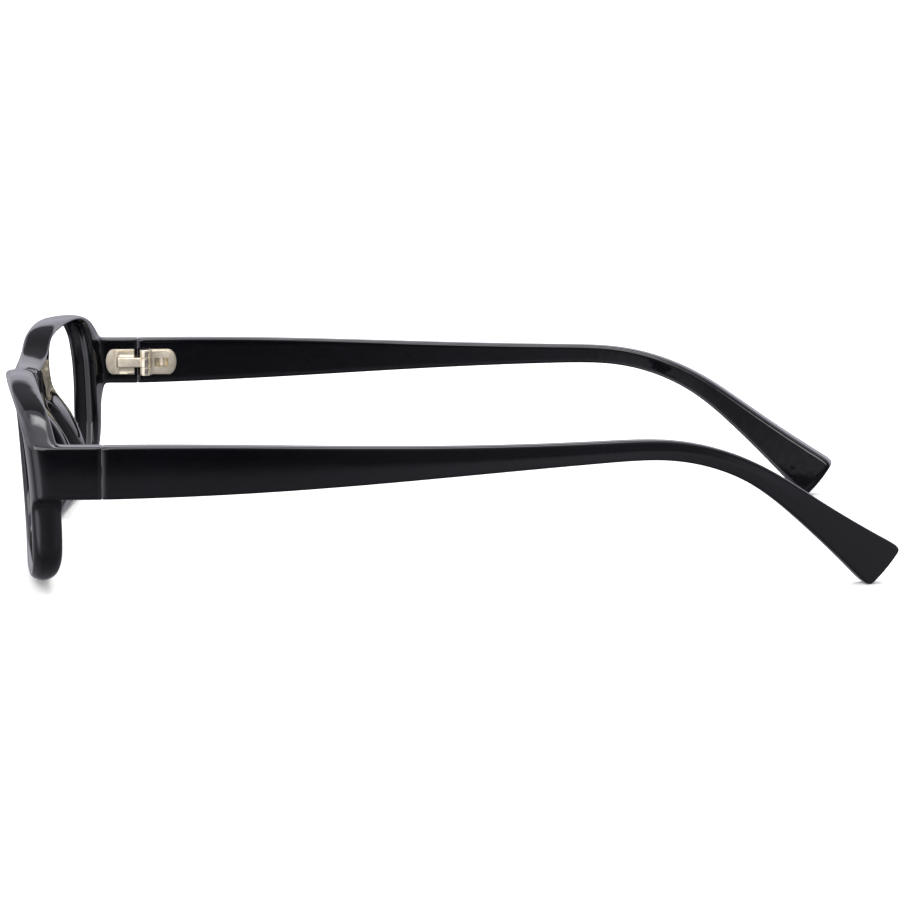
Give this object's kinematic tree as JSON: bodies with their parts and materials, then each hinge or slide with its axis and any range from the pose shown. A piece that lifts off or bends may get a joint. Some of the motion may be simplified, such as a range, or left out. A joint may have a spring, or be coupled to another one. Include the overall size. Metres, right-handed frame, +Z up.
{
  "type": "eyeglasses frame",
  "caption": "Full-rim plastic eyeglasses frame with moulded nose pads, metal barrel hinges, folding temples and open lens apertures.",
  "frame": {"origin": "on the table plane, under the middle of the frame's box", "axes": "+Z up; the front faces -Y and the temples run towards +Y; +X is the wearer's left; x = 0 is the plane of symmetry"},
  "size_m": [0.136, 0.1617, 0.0371],
  "materials": {
    "black_plastic": "polished blue-black acetate, slightly orange-peeled",
    "hinge_nickel": "warm nickel silver with a fine brushed grain",
    "screw_steel": "turned steel, slotted head",
    "core_wire_steel": "drawn wire"
  },
  "bodies": {
    "front": {"front_frame": "black_plastic", "hinge_front_leaf_left": "hinge_nickel", "hinge_front_leaf_right": "hinge_nickel"},
    "left_temple": {"temple_left": "black_plastic", "temple_core_wire_left": "core_wire_steel", "hinge_temple_leaf_left": "hinge_nickel", "hinge_screw_left": "screw_steel"},
    "right_temple": {"temple_right": "black_plastic", "temple_core_wire_right": "core_wire_steel", "hinge_temple_leaf_right": "hinge_nickel", "hinge_screw_right": "screw_steel"}
  },
  "joints": [
    {"name": "left_temple_fold", "type": "hinge", "parent": "front", "child": "left_temple", "pos_m": [0.0626, -0.05906, 0.02457], "axis": [0, 0, 1], "range_deg": [0, 86]},
    {"name": "right_temple_fold", "type": "hinge", "parent": "front", "child": "right_temple", "pos_m": [-0.0626, -0.05906, 0.02457], "axis": [0, 0, -1], "range_deg": [0, 80]}
  ]
}
